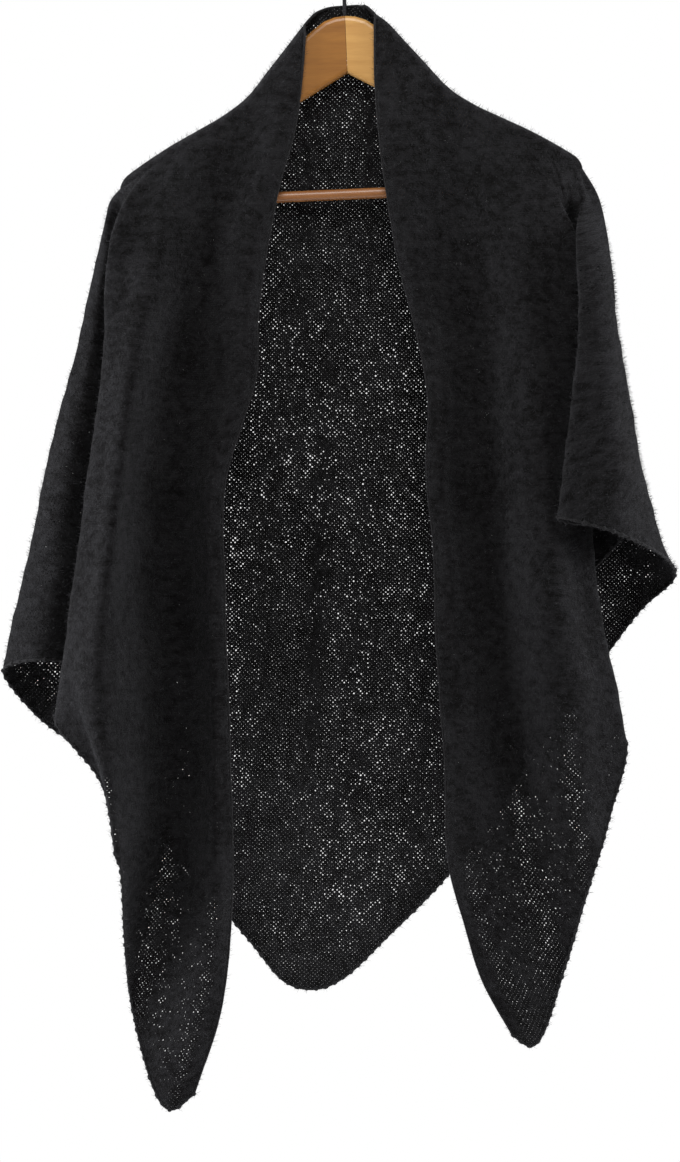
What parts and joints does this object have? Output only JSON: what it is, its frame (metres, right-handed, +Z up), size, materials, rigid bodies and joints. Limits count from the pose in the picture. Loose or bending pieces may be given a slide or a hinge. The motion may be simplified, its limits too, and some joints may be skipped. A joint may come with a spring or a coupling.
{
  "type": "triangle scarf on a wooden hanger",
  "caption": "Large knitted triangle scarf hung open over a wooden suit hanger, its point down the back and its ends down the fronts.",
  "frame": {"origin": "inside top of the hanger's hook, where a rail holds it", "axes": "+Z up, +X to the viewer's right, the front faces -Y"},
  "size_m": [0.6533, 0.1306, 1.1229],
  "materials": {
    "knit": "brushed mohair knit, charcoal black",
    "beech": "clear lacquered honey wood",
    "bar": "stained round bar",
    "steel": "black nickel plated wire"
  },
  "bodies": {
    "root": {"back": "knit", "left_front": "knit", "right_front": "knit", "hanger_left_arm": "beech", "hanger_right_arm": "beech", "trouser_bar": "bar", "hook": "steel"}
  },
  "joints": []
}
